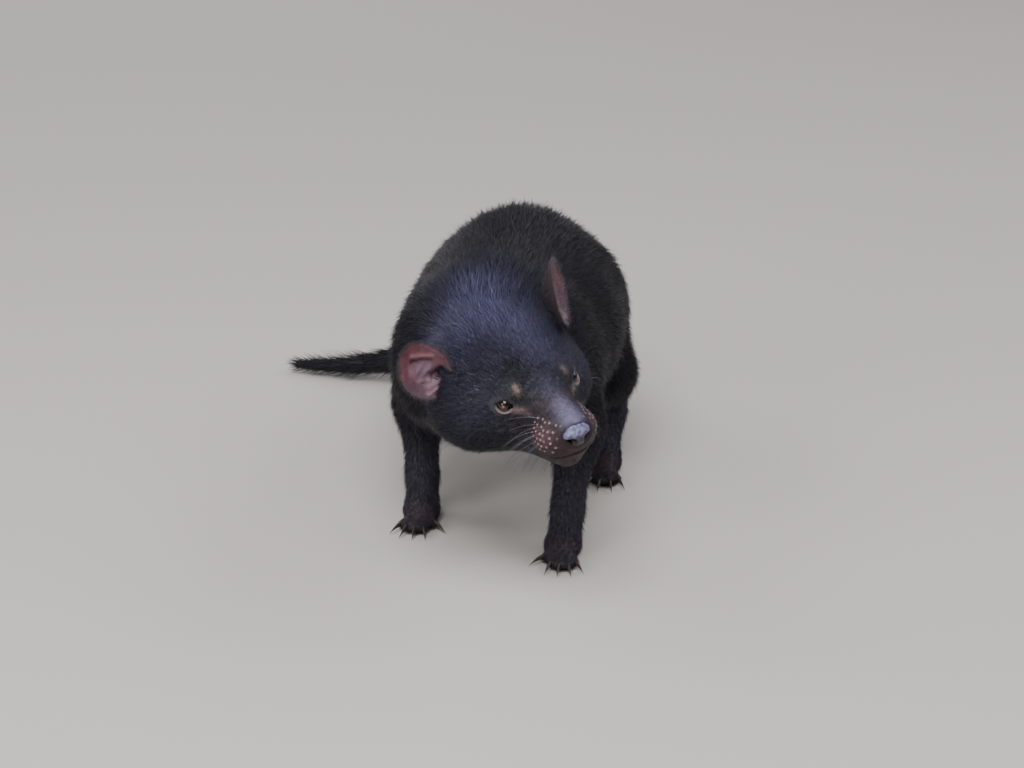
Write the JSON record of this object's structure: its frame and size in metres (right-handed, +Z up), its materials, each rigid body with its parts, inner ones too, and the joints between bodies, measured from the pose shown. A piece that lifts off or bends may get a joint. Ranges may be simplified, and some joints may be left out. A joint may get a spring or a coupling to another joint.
{
  "type": "tasmanian devil",
  "caption": "Still life-size model of a stocky dark marsupial on all fours, its head turned to its left and its thick tail laid on the floor.",
  "frame": {"origin": "middle of the box that holds the animal, at the floor", "axes": "the animal faces -Y, its left side is +X and +Z is up"},
  "size_m": [0.3706, 0.5242, 0.2814],
  "materials": {
    "coat": "dense near-black fur with a bluish sheen",
    "ear": "nearly bare red-pink skin",
    "paw": "dark, thinly furred skin",
    "nose": "wet, finely grained grey skin",
    "eye": "dark and wet",
    "claw": "smooth horn"
  },
  "bodies": {
    "root": {"ear_left": "ear", "ear_right": "ear", "eye_left": "eye", "eye_right": "eye", "foreclaw_left_1": "claw", "foreclaw_left_2": "claw", "foreclaw_left_3": "claw", "foreclaw_left_4": "claw", "foreclaw_left_5": "claw", "foreclaw_right_1": "claw", "foreclaw_right_2": "claw", "foreclaw_right_3": "claw", "foreclaw_right_4": "claw", "foreclaw_right_5": "claw", "foreleg_left": "coat", "foreleg_right": "coat", "forepaw_left": "paw", "forepaw_right": "paw", "head": "coat", "hindclaw_left_1": "claw", "hindclaw_left_2": "claw", "hindclaw_left_3": "claw", "hindclaw_left_4": "claw", "hindclaw_right_1": "claw", "hindclaw_right_2": "claw", "hindclaw_right_3": "claw", "hindclaw_right_4": "claw", "hindleg_left": "coat", "hindleg_right": "coat", "hindpaw_left": "paw", "hindpaw_right": "paw", "neck": "coat", "nose_pad": "nose", "tail": "coat", "torso": "coat"}
  },
  "joints": []
}
